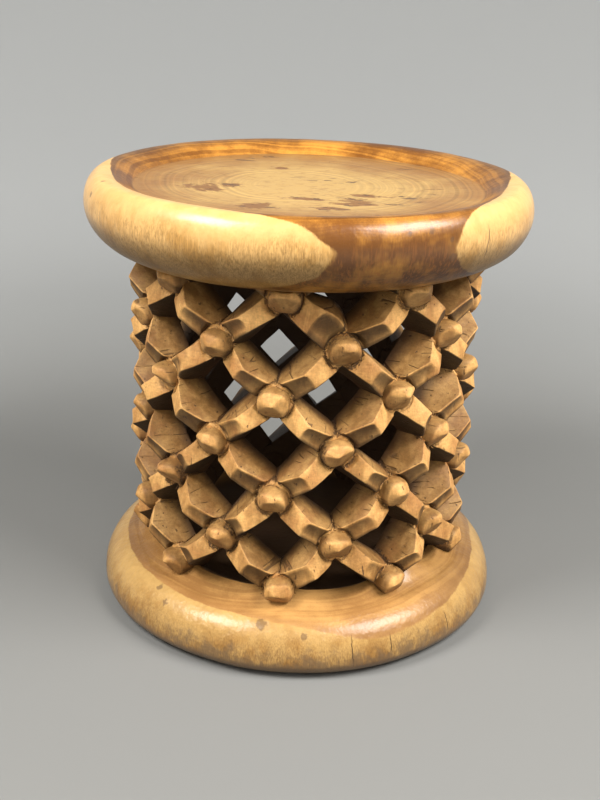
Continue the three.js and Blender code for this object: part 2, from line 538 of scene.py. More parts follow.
def bar_section():
    """One loop round a bar: share across, share of the depth, and the offsets in millimetres
    that round its four corners."""
    loop = []
    for across, depth, points, next_across, next_depth in (
        (-1, 1, 4, 1, 1), (1, 1, 4, 1, 0), (1, 0, 1, -1, 0), (-1, 0, 4, -1, 1),
    ):
        side = 1.0 if depth else -1.0
        rounds = [(-across * aside, -side * inwards) for aside, inwards in CORNER]
        if across * side > 0:
            rounds.reverse()
        loop += [(across, depth, *offset) for offset in rounds]
        for share in np.linspace(0.0, 1.0, points + 2)[1:-1]:
            place = across + (next_across - across) * share
            loop.append((place, depth + (next_depth - depth) * share, 0.0, 0.0))
    return np.array(loop).T


# The knife groove round each stud
GROOVE_RADIUS = 12.8
GROOVE_DEPTH = 3.4
GROOVE_WIDTH = 1.2

# How softly the bar's two outer slopes meet, in millimetres
KNEE_SOFTNESS = 0.35
BAR_WOBBLE = ((0.45, 13.0, 21), (0.16, 4.5, 24))

# Stations from the upper crossing (0) over the knee (1) to the lower crossing (2)
BAR_STATIONS = np.array([
    -0.1, 0.15, 0.38, 0.45, 0.478, 0.506, 0.56, 0.72, 0.92, 0.985,
    1.015, 1.06, 1.18, 1.34, 1.5, 1.552, 1.577, 1.602, 1.68, 1.88, 2.1,
])


def bar_shells(rows, places, sides, rng):
    """Kneed bars from each crossing down to its neighbour.

    A rounded four-cornered section is carried along each bar. Its outer radius is the soft
    minimum of a line that rises to the knee and one that falls behind it, the section
    narrows outwards, and the face below the knee is scooped.
    """
    def each(low, high):
        """A random number for each bar."""
        return rng.uniform(low, high, len(rows))[:, None, None]

    across, depth, round_across, round_depth = bar_section()
    knee = KNEE_FROM_TOP + each(-0.035, 0.035)
    knee = knee + KNEE_BOW * each(0.5, 1.2) * (across ** 2 - 0.5)
    station = BAR_STATIONS[None, :, None]
    station = station + each(-0.05, 0.05) * across * bell(station - 1.0, 0.6)
    share = np.where(station < 1.0, station * knee, knee + (station - 1.0) * (1.0 - knee))
    top = crossing_angle(rows, places)[:, None, None]
    below_places = places + np.where(rows % 2 == 0, (sides + 1) // 2, (sides - 1) // 2)
    below_angle = crossing_angle(rows + 1, below_places)[:, None, None]
    angle = top + (below_angle - top) * share
    height = crossing_height(rows)[:, None, None] - ROW_PITCH * share

    rise = KNEE_RADIUS + each(-1.8, 1.2) - CROSSING_RADIUS
    upper = rise * station / KNEE_SOFTNESS
    lower = rise * (2.0 - station) / KNEE_SOFTNESS
    outer = CROSSING_RADIUS - KNEE_SOFTNESS * np.logaddexp(-upper, -lower)
    tilt = each(-0.9, 0.9) * across * bell(station - 1.0, 0.7)
    scoop = each(0.1, 0.9) * bell(station - 1.42, 0.3)
    outer = outer + tilt - scoop * (1.0 - 0.35 * across ** 2)
    inner = INNER_RADIUS + each(-1.0, 2.5)
    inner = inner + FRONT_THINNING * (1.0 - fade(top, *FRONT_FADE))
    radius = inner + (outer - inner) * depth + round_depth
    inside = np.clip(share, 0.0, 1.0)
    inwards = (CROSSING_RADIUS - radius) / (CROSSING_RADIUS - INNER_RADIUS)
    drop = DROP_ACROSS * (HOLE_DROP * np.clip(inwards, 0.0, 1.0))
    narrow = BACK_NARROWING * fade(top, *BACK_FADE)
    above = half_width(inside, radius) + narrow - drop + each(-0.7, 0.9)
    below = half_width(1.0 - inside, radius) + narrow + drop + each(-0.7, 0.9)
    for row, place, side, extra in WIDE_BARS:
        chosen = ((rows == row) & (places == place) & (sides == side))[:, None, None]
        above = above + extra * chosen * bell(station - WIDEST_STATION, WIDE_REACH)
    offset = 0.5 * (above + below) * across + 0.5 * (above - below) + round_across

    end = np.minimum(np.abs(share), np.abs(1.0 - share))
    stud_distance = np.hypot(offset, BAR_LENGTH * end)
    groove = GROOVE_DEPTH * bell(stud_distance - GROOVE_RADIUS, GROOVE_WIDTH) * depth ** 4
    run = np.radians(HALF_STEP) * radius
    slant = np.hypot(ROW_PITCH, run)
    points = outward(angle) * (radius - groove)[..., None]
    points = points + sideways(angle) * (offset * ROW_PITCH / slant)[..., None]
    points[..., 2] += height + offset * sides[:, None, None] * run / slant
    return wobbled(points, BAR_WOBBLE)


def crossings(rows):
    """Row and place of every crossing in the rows."""
    rows, places = np.meshgrid(rows, np.arange(STUDS_PER_ROW), indexing="ij")
    return rows.ravel(), places.ravel()


def bar_sets(rng):
    """Meshes of bars that don't touch each other: rows of one parity that lean one way."""
    meshes = []
    for parity, side in itertools.product((0, 1), (-1, 1)):
        rows, places = crossings(np.arange(parity, STUD_ROWS, 2))
        shells = bar_shells(rows, places, np.full(rows.size, side), rng)
        meshes.append(make_mesh("bars", *closed_shells(shells)))
    return meshes


STUD_CENTRE_RADIUS = 129.5
STUD_HALF_WIDTH = 11.9
STUD_HALF_HEIGHT = 10.7
STUD_REACH = 16.0
STUD_TIP_RISE = 3.0
STUD_ROUNDNESS = 2.5
STUD_SHARPNESS = 26.0
STUD_WOBBLE = ((0.2, 6.0, 31),)
# Knife cuts round the tip: direction round the stud, from its right side upwards, tilt, and
# distance as a share of the distance to the tip
STUD_CUTS = np.array([
    [90.0, 28.0, 1.0], [32.0, 33.0, 1.09], [148.0, 33.0, 1.09],
    [-24.0, 40.0, 1.06], [204.0, 40.0, 1.06], [270.0, 42.0, 1.0],
])
STUD_CUT_SPREAD = np.array([12.0, 4.0, 0.035])


def tilted(tilt, spin):
    """Unit vector (out, across, up), tilted away from straight out towards the spin."""
    aside = np.sin(tilt)
    return np.stack([np.cos(tilt), aside * np.cos(spin), aside * np.sin(spin)], axis=-1)


def stud_shells(rows, places, rng):
    """Round studs whose tips are cut to blunt peaks, steeper below than above.

    Round each stud's middle, the radius in a direction is the soft minimum of a
    superellipsoid and of the cuts: (ellipsoid^-k + sum of (cosine / distance)^k)^(-1/k).
    """
    count = len(rows)
    polar = np.radians([3, 9, 15, 21, 27, 33, 39, 45, 51, 57, 64, 72, 81, 92, 105, 122, 145])
    azimuth = np.radians(line(0.0, 360.0, count=30))
    ways = tilted(*np.meshgrid(polar, azimuth, indexing="ij"))
    scale = np.stack([
        np.full(count, STUD_REACH + 0.6),
        STUD_HALF_WIDTH * rng.uniform(0.92, 1.07, count),
        STUD_HALF_HEIGHT * rng.uniform(0.92, 1.07, count),
    ], axis=-1)[:, None, None]
    body = (np.abs(ways / scale) ** STUD_ROUNDNESS).sum(axis=-1) ** (1.0 / STUD_ROUNDNESS)

    spread = rng.normal(0.0, STUD_CUT_SPREAD[:, None, None], (3, count, len(STUD_CUTS)))
    spin, tilt, share = STUD_CUTS.T[:, None] + spread
    cut = tilted(np.radians(tilt), np.radians(spin))
    tip = np.stack([
        STUD_REACH - 0.6 + rng.uniform(-1.0, 0.6, count),
        rng.normal(0.0, 1.2, count),
        STUD_TIP_RISE + rng.normal(0.0, 1.0, count),
    ], axis=-1)
    reach = np.einsum("nki,ni->nk", cut, tip) * share
    facing = np.clip(np.einsum("rci,nki->nrck", ways, cut), 0.0, None)
    planes = ((facing / reach[:, None, None]) ** STUD_SHARPNESS).sum(axis=-1)
    radius = (body ** STUD_SHARPNESS + planes) ** (-1.0 / STUD_SHARPNESS)
    local = ways * radius[..., None]

    angle = crossing_angle(rows, places) + rng.uniform(-0.5, 0.5, count)
    height = crossing_height(rows) + rng.uniform(-0.7, 0.7, count)
    angle = angle[:, None, None]
    points = outward(angle) * (STUD_CENTRE_RADIUS + local[..., 0])[..., None]
    points = points + sideways(angle) * local[..., 1:2]
    points[..., 2] += height[:, None, None] + local[..., 2]
    return wobbled(points, STUD_WOBBLE)


FOOT_HALF_WIDTH = 8.0
FOOT_DROP = 20.0
FOOT_SPREAD = 0.25
FOOT_WOBBLE = ((0.5, 6.0, 41),)


def foot_shells(rng):
    """Short blocks that carry the last row's crossings on the base's ridge: an ellipse
    carried down from the crossing into the base."""
    places = np.arange(STUDS_PER_ROW)
    rows = np.full(STUDS_PER_ROW, STUD_ROWS)
    turn = np.radians(line(0.0, 360.0, count=24))
    fall = np.linspace(0.0, -FOOT_DROP, 7)[None, :, None]
    middle = 0.5 * (INNER_RADIUS + CROSSING_RADIUS + 4.0)
    half_depth = middle - INNER_RADIUS
    angle = crossing_angle(rows, places)[:, None, None]
    spread = 1.0 + FOOT_SPREAD * (fall / FOOT_DROP) ** 2
    points = outward(angle) * (middle + half_depth * np.cos(turn) * spread)[..., None]
    points = points + sideways(angle) * (FOOT_HALF_WIDTH * np.sin(turn) * spread)[..., None]
    points[..., 2] += crossing_height(STUD_ROWS) + fall
    return wobbled(points, FOOT_WOBBLE)


# A direction that no spike points along
ELSEWHERE = (0.31, 0.83, 0.47)


def spikes(roots, ways, lengths, halves):
    """Three-sided spikes: a ring round the way, thinner towards the tip."""
    ways = ways / np.linalg.norm(ways, axis=-1, keepdims=True)
    first = np.cross(ways, ELSEWHERE)
    first = first / np.linalg.norm(first, axis=-1, keepdims=True)
    second = np.cross(ways, first)
    turn = np.radians([0.0, 120.0, 240.0])[:, None]
    ring = first[:, None, None] * np.cos(turn) + second[:, None, None] * np.sin(turn)
    along = np.array([-0.6, 0.5, 1.0])[:, None]
    thick = np.array([1.0, 0.8, 0.15])[:, None, None]
    spine = roots[:, None] + ways[:, None] * along * lengths[:, None, None]
    return spine[:, :, None] + ring * halves[:, None, None, None] * thick


RING_SPLINTERS = 26
CROTCH_SPLINTERS = 16


def splinter_shells(rows, places, rng):
    """Torn fibres: round each stud's root, mostly above it, and along the crotch where the
    two upper bars meet. They are worked out as (out, across, up) from each crossing."""
    count = rows.size
    frayed = rng.uniform(0.25, 1.0, (count, 1))
    spin = np.radians(90.0 + rng.normal(0.0, 65.0, (count, RING_SPLINTERS)))
    shape = spin.shape
    far = rng.uniform(12.2, 14.6, shape)
    out = rng.uniform(123.0, 130.0, shape)
    root = np.stack([out, far * np.cos(spin), far * np.sin(spin)], axis=-1)
    out = rng.uniform(0.1, 1.0, shape)
    way = np.stack([out, np.cos(spin), np.sin(spin) + 0.5], axis=-1)
    length = rng.uniform(1.0, 3.4, shape) * frayed

    shape = (count, CROTCH_SPLINTERS)
    radius = rng.uniform(110.0, 130.0, shape)
    outwards = (radius - INNER_RADIUS) / (KNEE_RADIUS - INNER_RADIUS)
    rise = ROW_PITCH - HOLE_INNER[1] - (HOLE_OUTER[1] - HOLE_INNER[1]) * outwards
    crotch = np.stack([radius, rng.normal(0.0, 0.9, shape), rise - 2.0], axis=-1)
    crotch_way = np.stack([
        rng.uniform(0.0, 1.0, shape),
        rng.normal(0.0, 0.6, shape),
        rng.uniform(0.5, 1.2, shape),
    ], axis=-1)
    crotch_length = rng.uniform(1.4, 4.6, shape) * frayed

    roots = np.concatenate([root, crotch], axis=1).reshape(-1, 3)
    ways = np.concatenate([way, crotch_way], axis=1).reshape(-1, 3)
    lengths = np.concatenate([length, crotch_length], axis=1).ravel()
    halves = rng.uniform(0.22, 0.62, lengths.size)
    local = spikes(roots, ways, lengths, halves)
    each = RING_SPLINTERS + CROTCH_SPLINTERS
    angle = np.repeat(crossing_angle(rows, places), each)[:, None, None]
    points = outward(angle) * local[..., :1] + sideways(angle) * local[..., 1:2]
    points[..., 2] += np.repeat(crossing_height(rows), each)[:, None, None] + local[..., 2]
    return points


def all_studs():
    """Rows and places of all studs."""
    return crossings(np.arange(1, STUD_ROWS + 1))


# The height above a stud, from and to, at which its two upper bars meet
CROTCH_LOW = 13.0
CROTCH_HIGH = 25.0


def store_torn(mesh):
    """For each vertex: how frayed the nearest stud's surroundings are, the distance to its
    axis, and the distance to the upright line above it where its two upper bars meet."""
    points = positions(mesh)
    rows, places = all_studs()
    across = np.radians(turn_between(angle_of(points)[:, None], crossing_angle(rows, places)))
    across = across * np.hypot(points[:, 0], points[:, 1])[:, None]
    upwards = points[:, 2:] - crossing_height(rows)
    distance = np.hypot(across, upwards)
    beyond = np.maximum(np.maximum(CROTCH_LOW - upwards, upwards - CROTCH_HIGH), 0.0)
    strength = np.random.default_rng(5).uniform(0.0, 1.0, rows.size) ** 1.3
    store(mesh, "frayed", strength[distance.argmin(axis=1)])
    store(mesh, "ring", distance.min(axis=1) / METRE)
    store(mesh, "crotch", np.hypot(across, beyond).min(axis=1) / METRE)


def openwork_mesh():
    """Bars, studs and feet united into one body."""
    rng = np.random.default_rng(7)
    rows, places = all_studs()
    studs = make_mesh("studs", *closed_shells(stud_shells(rows, places, rng)))
    feet = make_mesh("feet", *closed_shells(foot_shells(rng)))
    carved = unite("openwork", [*bar_sets(rng), studs, feet])
    store_torn(carved)
    return carved


def splinters_mesh():
    """The torn fibres of all studs, some of them pale."""
    rng = np.random.default_rng(9)
    shells = splinter_shells(*all_studs(), rng)
    mesh = make_mesh("splinters", *closed_shells(shells))
    count, rows, columns = shells.shape[:3]
    pale = rng.uniform(0.0, 1.0, count) ** 2
    pale = np.concatenate([np.repeat(pale, rows * columns), np.repeat(pale, 2)])
    store(mesh, "pale", pale)
    return mesh


# Shader nodes


class Shader:
    """Short calls that add linked nodes to one tree. Each returns the new node's socket."""

    def __init__(self, tree):
        self.tree = tree
        self.place = self.add("TexCoord", {}, {}, "Object")

    def add(self, kind, settings, inputs, output=0):
        """A node with its settings. An input is linked to a socket or set to a value."""
        node = self.tree.nodes.new("ShaderNode" + kind)
        for name, value in settings.items():
            setattr(node, name, value)
        for name, value in inputs.items():
            if isinstance(value, bpy.types.NodeSocket):
                self.tree.links.new(value, node.inputs[name])
            else:
                node.inputs[name].default_value = value
        return node.outputs[output]

    def math(self, operation, *values):
        return self.add("Math", {"operation": operation}, dict(enumerate(values)))

    def chain(self, operation, total, *values):
        """The operation carried on over all values."""
        for value in values:
            total = self.math(operation, total, value)
        return total

    def times(self, *values):
        return self.chain("MULTIPLY", *values)

    def plus(self, *values):
        return self.chain("ADD", *values)

    def largest(self, *values):
        return self.chain("MAXIMUM", *values)

    def less(self, value, other):
        return self.math("SUBTRACT", value, other)

    def weighted(self, *terms):
        """Sum of the products of each term's values."""
        return self.plus(*(self.times(*term) for term in terms))

    def rising(self, value, slope, start):
        """The start plus the slope times the value."""
        return self.plus(self.times(value, slope), start)

    def distance(self, x, y):
        """The hypotenuse of two sides."""
        return self.math("SQRT", self.weighted((x, x), (y, y)))

    def smooth(self, value, low, high):
        """0 at low, 1 at high, smooth between them."""
        limits = {"Value": value, "From Min": low, "From Max": high}
        return self.add("MapRange", {"interpolation_type": "SMOOTHSTEP"}, limits)

    def hump(self, value, middle, width):
        """1 at the middle, 0 from the width on."""
        return self.smooth(self.math("ABSOLUTE", self.less(value, middle)), width, 0.0)

    def mix(self, share, first, second):
        """Colour between two colours."""
        inputs = {0: share, 6: first, 7: second}
        return self.add("Mix", {"data_type": "RGBA"}, inputs, 2)

    def tint(self, colour, other, share, strength):
        """Colour that turns to the other by the share times the strength."""
        return self.mix(self.times(share, strength), colour, other)

    def shade(self, colour, factor):
        """Colour times a number."""
        inputs = {"Vector": colour, "Scale": factor}
        return self.add("VectorMath", {"operation": "SCALE"}, inputs, "Vector")

    def darken(self, colour, share, strength):
        """Colour that loses the share times the strength of its light."""
        return self.shade(colour, self.less(1.0, self.times(share, strength)))

    def attribute(self, name):
        return self.add("Attribute", {"attribute_name": name}, {}, "Fac")

    def vector(self, operation, first, second=(0.0, 0.0, 0.0), output="Vector"):
        return self.add("VectorMath", {"operation": operation}, {0: first, 1: second}, output)

    def noise(self, scale, detail=2.0, roughness=0.5):
        """Noise from 0 to 1 in cells of 1 / scale metres on each axis."""
        place = self.vector("MULTIPLY", self.place, scale)
        inputs = {"Vector": place, "Scale": 1.0, "Detail": detail, "Roughness": roughness}
        return self.add("TexNoise", {}, inputs, "Fac")

    def swing(self, *noise):
        """Noise from -0.5 to 0.5."""
        return self.less(self.noise(*noise), 0.5)

    def patches(self, low, high, *noise):
        """0 where the noise is at low, 1 where it is at high."""
        return self.smooth(self.noise(*noise), low, high)

    def axis(self, name):
        return self.add("SeparateXYZ", {}, {"Vector": self.place}, name)

    def group(self, tree):
        """The outputs of a node group."""
        node = self.tree.nodes.new("ShaderNodeGroup")
        node.node_tree = tree
        return node.outputs

    def hand_out(self, sockets):
        """Output sockets of the group, by name."""
        end = self.tree.nodes.new("NodeGroupOutput")
        for name, socket in sockets.items():
            kind = "NodeSocketColor" if socket.type in ("RGBA", "VECTOR") else "NodeSocketFloat"
            self.tree.interface.new_socket(name, in_out="OUTPUT", socket_type=kind)
            self.tree.links.new(socket, end.inputs[name])


def new_group(name):
    """An empty node group and its shader calls."""
    tree = bpy.data.node_groups.new(name, "ShaderNodeTree")
    return tree, Shader(tree)


# The pith's place, in metres, and the growth rings round it
RING_CENTRE = (-0.014, 0.006)
RING_WARP = 0.012
RINGS_PER_METRE = 260.0


def log_group():
    """The log's grain in its own frame: growth rings round an off-centre pith, fine fibres
    and broad streaks along the trunk, and clouds of lighter and darker wood."""
    tree, shader = new_group("log")
    warp = shader.times(shader.swing((14.0, 14.0, 3.0), 1.0), RING_WARP)
    x = shader.less(shader.axis("X"), RING_CENTRE[0])
    y = shader.less(shader.axis("Y"), RING_CENTRE[1])
    turns = shader.times(shader.plus(shader.distance(x, y), warp), RINGS_PER_METRE)
    rings = shader.add(
        "TexNoise", {"noise_dimensions": "1D"},
        {"W": turns, "Scale": 1.0, "Detail": 3.0, "Roughness": 0.6}, "Fac",
    )
    flat = shader.vector("MULTIPLY", shader.place, (1.0, 1.0, 0.0))
    radius = shader.vector("LENGTH", flat, output="Value")
    shader.hand_out({
        "Rings": rings,
        "Fibres": shader.noise((900.0, 900.0, 70.0), 3.0, 0.6),
        "Streaks": shader.noise((170.0, 170.0, 11.0), 2.5, 0.55),
        "Clouds": shader.noise((24.0, 24.0, 16.0), 2.0),
        "Radius": radius,
    })
    return tree


# Light heartwood, dark heartwood, then clean, warm and mottled sapwood
SEAT_WOOD = (
    (0.64, 0.275, 0.042, 1.0), (0.19, 0.066, 0.010, 1.0),
    (0.72, 0.425, 0.148, 1.0), (0.48, 0.238, 0.050, 1.0), (0.27, 0.140, 0.034, 1.0),
)
BASE_WOOD = (
    (0.54, 0.282, 0.086, 1.0), (0.32, 0.150, 0.044, 1.0),
    (0.50, 0.294, 0.092, 1.0), (0.30, 0.136, 0.024, 1.0), (0.17, 0.080, 0.020, 1.0),
)
# Heights in metres, from and to, over which the sapwood turns mottled downwards
SEAT_MOTTLED = (0.336, 0.316)
BASE_MOTTLED = (0.032, 0.000)
# The dish's floor
DISH_LIGHT = (0.52, 0.318, 0.098, 1.0)
DISH_BROWN = (0.18, 0.064, 0.012, 1.0)
DISH_DARK = (0.30, 0.140, 0.034, 1.0)
# Stains, cracks, darkening towards the foot, and the bare carved wood with its splinters,
# a near-black for its tears and painted shade, and pale edges, partly wear and partly painted
# highlight
MARK = (0.10, 0.05, 0.022, 1.0)
CRACK = (0.045, 0.022, 0.010, 1.0)
BASE_BOTTOM_DARK = (0.16, 0.095, 0.045, 1.0)
CARVED_LIGHT = (0.68, 0.365, 0.114, 1.0)
CARVED_DARK = (0.41, 0.195, 0.052, 1.0)
CARVED_RUDDY = (0.42, 0.175, 0.050, 1.0)
# Near-black for tears and cracks, and for painted shade in creases and inside the drum
TEAR_AND_SHADE_DARK = (0.055, 0.026, 0.011, 1.0)
SPLINTER_DARK = (0.10, 0.048, 0.018, 1.0)
WORN_AND_LIT_EDGE = (0.64, 0.40, 0.17, 1.0)


def lacquered_group(name, log, mottled_band, heart_light, heart_dark, sap_light, sap_warm, sap_dark):
    """Colour of the oiled and lacquered wood: dark heartwood inside, pale sapwood outside
    that is mottled brown below the band of heights. Painted shade darkens all of it on lower
    faces, and the heartwood also towards the left and right sides and on the seat's level faces."""
    tree, shader = new_group(name)
    grain = shader.group(log)
    ragged = shader.weighted(
        (shader.swing((70.0, 70.0, 50.0), 1.0), 0.0028), (shader.swing((500.0, 500.0, 200.0)), 0.0012),
    )
    depth = shader.plus(shader.attribute("sap_depth"), ragged)
    sap = shader.smooth(depth, -0.0004, 0.0007)
    rim = shader.hump(depth, -0.0022, 0.0048)

    downward = shader.attribute("downward")
    height = shader.axis("Z")
    # Painted shade: how far a face turns to the ground, for darkening lower faces
    below = shader.smooth(downward, -0.85, 0.60)
    lower_heart = shader.smooth(below, 0.15, 0.60)
    patchy = shader.less(shader.noise((80.0, 80.0, 55.0), 2.0, 0.6), 0.52)
    ringed = shader.weighted(
        (grain["Rings"], 0.36), (grain["Clouds"], 0.78), (grain["Fibres"], 0.22),
        (grain["Streaks"], 0.20), (patchy, lower_heart, 1.1),
    )
    heart = shader.mix(shader.smooth(ringed, 0.60, 1.02), heart_dark, heart_light)
    heart = shader.tint(heart, heart_dark, rim, 0.50)
    # Painted shade on the heartwood's lower faces
    heart = shader.darken(heart, below, 0.66)
    # Painted shade: the heartwood darkens towards the left and right sides, as seen from the front
    sides = shader.smooth(shader.math("ABSOLUTE", shader.axis("X")), 0.095, 0.150)
    heart = shader.darken(heart, sides, 0.26)
    # Painted shade on the seat's level heartwood, such as the crest of the rim
    crest = shader.times(shader.smooth(downward, -0.90, -0.99), shader.smooth(height, 0.2, 0.3))
    heart = shader.darken(heart, crest, 0.32)
    # Dark streaks on the lower heartwood faces only: partly grain and partly painted shade
    streak = shader.patches(0.48, 0.64, (620.0, 620.0, 46.0), 3.0, 0.65)
    heart = shader.tint(heart, heart_dark, shader.times(streak, lower_heart), 0.62)

    lower = shader.smooth(shader.plus(height, shader.times(grain["Clouds"], -0.024)), *mottled_band)
    warm = shader.patches(0.44, 0.60, (44.0, 44.0, 28.0), 4.0, 0.65)
    warm = shader.times(warm, shader.rising(lower, 0.42, 0.24))
    pale = shader.mix(shader.plus(warm, shader.times(lower, 0.26)), sap_light, sap_warm)
    strokes = shader.patches(0.38, 0.62, (1250.0, 1250.0, 130.0), 3.0, 0.6)
    flecks = shader.patches(0.52, 0.66, (420.0, 420.0, 260.0), 3.0, 0.65)
    mottled = shader.weighted((strokes, lower, 0.58), (flecks, shader.plus(lower, 0.25), 0.24))
    pale = shader.mix(mottled, pale, sap_dark)
    pale = shader.shade(pale, shader.rising(grain["Streaks"], 0.30, 0.88))
    # Painted shade on the sapwood's lower faces
    pale = shader.darken(pale, shader.smooth(below, 0.60, 1.0), 0.62)
    shader.hand_out({"Color": shader.mix(sap, heart, pale)})
    return tree


# Brown stains on the dish's floor: angle, radius, half length and half width
DISH_STAINS = (
    (66.0, 51.0, 19.0, 6.5),
    (18.0, 80.5, 14.0, 8.0),
    (40.0, 62.0, 17.0, 14.0),
    (-18.0, 87.0, 16.0, 14.0),
    (-73.0, 80.5, 17.0, 15.0),
    (-84.0, 62.0, 14.0, 8.0),
    (-156.0, 80.5, 7.0, 5.0),
    (5.0, 45.0, 20.0, 6.0),
)


def stain(shader, angle, radius, half_length, half_width):
    """An ellipse with a ragged edge, long from left to right: 1 inside."""
    middle = tuple(outward(np.array(angle)) * radius / METRE)
    scale = (METRE / half_length, METRE / half_width, 0.0)
    offset = shader.vector("MULTIPLY", shader.vector("SUBTRACT", shader.place, middle), scale)
    distance = shader.vector("LENGTH", offset, output="Value")
    ragged = shader.times(shader.swing((95.0, 130.0, 1.0), 4.0, 0.65), 3.4)
    return shader.smooth(shader.plus(distance, ragged), 1.0, 0.55)


def dish_group(log):
    """The worn floor of the dish: pale in the middle, ringed, with short dark slits that
    run from left to right and a few brown stains."""
    tree, shader = new_group("dish floor")
    grain = shader.group(log)
    edge = DISH_EDGE_RADIUS / METRE
    inside = shader.smooth(grain["Radius"], edge + 0.001, edge - 0.001)
    inside = shader.times(inside, shader.smooth(shader.axis("Z"), 0.30, 0.33))
    light = shader.less(shader.rising(grain["Clouds"], 0.6, 0.14), shader.times(grain["Radius"], 4.6))
    colour = shader.mix(shader.smooth(light, -0.22, 0.22), DISH_DARK, DISH_LIGHT)
    outer = shader.smooth(grain["Radius"], 0.015, 0.075)
    ringed = shader.times(shader.less(grain["Rings"], 0.5), outer, 0.85)
    colour = shader.shade(colour, shader.plus(ringed, 0.96))

    stains = shader.plus(*(stain(shader, *row) for row in DISH_STAINS))
    colour = shader.tint(colour, DISH_BROWN, stains, 0.84)
    flecks = shader.patches(0.54, 0.68, (120.0, 230.0, 1.0), 3.0, 0.6)
    colour = shader.tint(colour, DISH_BROWN, flecks, 0.35)
    slits = shader.patches(0.575, 0.61, (70.0, 170.0, 1.0), 2.0, 0.55)
    crowded = shader.patches(0.60, 0.72, (17.0, 26.0, 1.0), 1.0)
    slits = shader.times(slits, shader.largest(crowded, stains))
    colour = shader.tint(colour, MARK, slits, 0.85)
    shader.hand_out({"Color": colour, "Inside": inside, "Slits": slits})
    return tree


# Thin cracks: angle, lower end and upper end
SEAT_CRACKS = ((53.0, 318.0, 346.0),)
BASE_CRACKS = ((22.8, 9.0, 36.0), (34.0, 15.0, 32.0), (54.0, 14.0, 33.0))
CRACK_HALF_WIDTH = 0.00042

# Dark spots: angle, radius, height and size
SEAT_SPOTS = (
    (35.8, 172.0, 346.0, 3.6), (30.2, 173.0, 345.0, 2.4),
    (41.6, 174.2, 326.0, 3.4), (41.0, 174.2, 339.0, 2.2),
    (-60.0, 163.0, 354.7, 2.8), (-59.8, 172.7, 345.0, 3.2), (-134.5, 162.5, 354.0, 2.6),
)
BASE_SPOTS = (
    (-2.0, 155.0, 40.0, 5.2), (10.0, 160.0, 35.0, 3.6),
    (-33.0, 158.0, 36.0, 3.4), (-38.0, 152.0, 41.0, 3.2),
)

# Painted shade on the lacquered wood inside the drum, in metres: full up to the first
# radius, none from the second one on, and half its height
HOLLOW_DARK = 0.105
HOLLOW_FULL = 0.118
HOLLOW_HALF_HEIGHT = 0.138

# Painted shade on the bars' sides, growing inwards over these radii, in metres, and starting
# further out at the rear
DEEP_END = 0.124
DEEP_START = 0.110
REAR_DEEPER = 0.015


def cracks(shader, radius, rows):
    """Thin wandering lines along the grain: 1 in them."""
    height = shader.axis("Z")
    azimuth = shader.math("ARCTAN2", shader.axis("X"), shader.times(shader.axis("Y"), -1.0))
    sway = shader.times(shader.swing((3.0, 3.0, 90.0)), 0.006)
    total = 0.0
    for angle, low, high in rows:
        across = shader.plus(shader.times(shader.less(azimuth, np.radians(angle)), radius), sway)
        end = (high - low) * 0.3
        lower = shader.smooth(height, low / METRE, (low + end) / METRE)
        upper = shader.smooth(height, high / METRE, (high - end) / METRE)
        crack = shader.times(shader.hump(across, 0.0, CRACK_HALF_WIDTH), lower, upper)
        total = shader.plus(crack, total)
    return total


def spots(shader, rows):
    """Round ragged spots: 1 in them."""
    ragged = shader.swing((320.0, 320.0, 320.0))
    total = 0.0
    for angle, radius, height, size in rows:
        middle = outward(np.array(angle)) * radius + np.array([0.0, 0.0, height])
        distance = shader.vector("DISTANCE", shader.place, tuple(middle / METRE), "Value")
        distance = shader.plus(distance, shader.times(ragged, 1.6 * size / METRE))
        total = shader.plus(shader.smooth(distance, size / METRE, 0.5 * size / METRE), total)
    return total


def new_material(name):
    """A material with its shader calls and its Principled node."""
    material = bpy.data.materials.new(name)
    material.use_nodes = True
    return material, Shader(material.node_tree), material.node_tree.nodes["Principled BSDF"]


def connect(shader, principled, colour, roughness, height):
    """Colour, roughness, and the relief whose height is in millimetres."""
    bump = {"Strength": 1.0, "Distance": 1.0 / METRE, "Height": height}
    shader.tree.links.new(colour, principled.inputs["Base Color"])
    shader.tree.links.new(roughness, principled.inputs["Roughness"])
    shader.tree.links.new(shader.add("Bump", {}, bump, "Normal"), principled.inputs["Normal"])


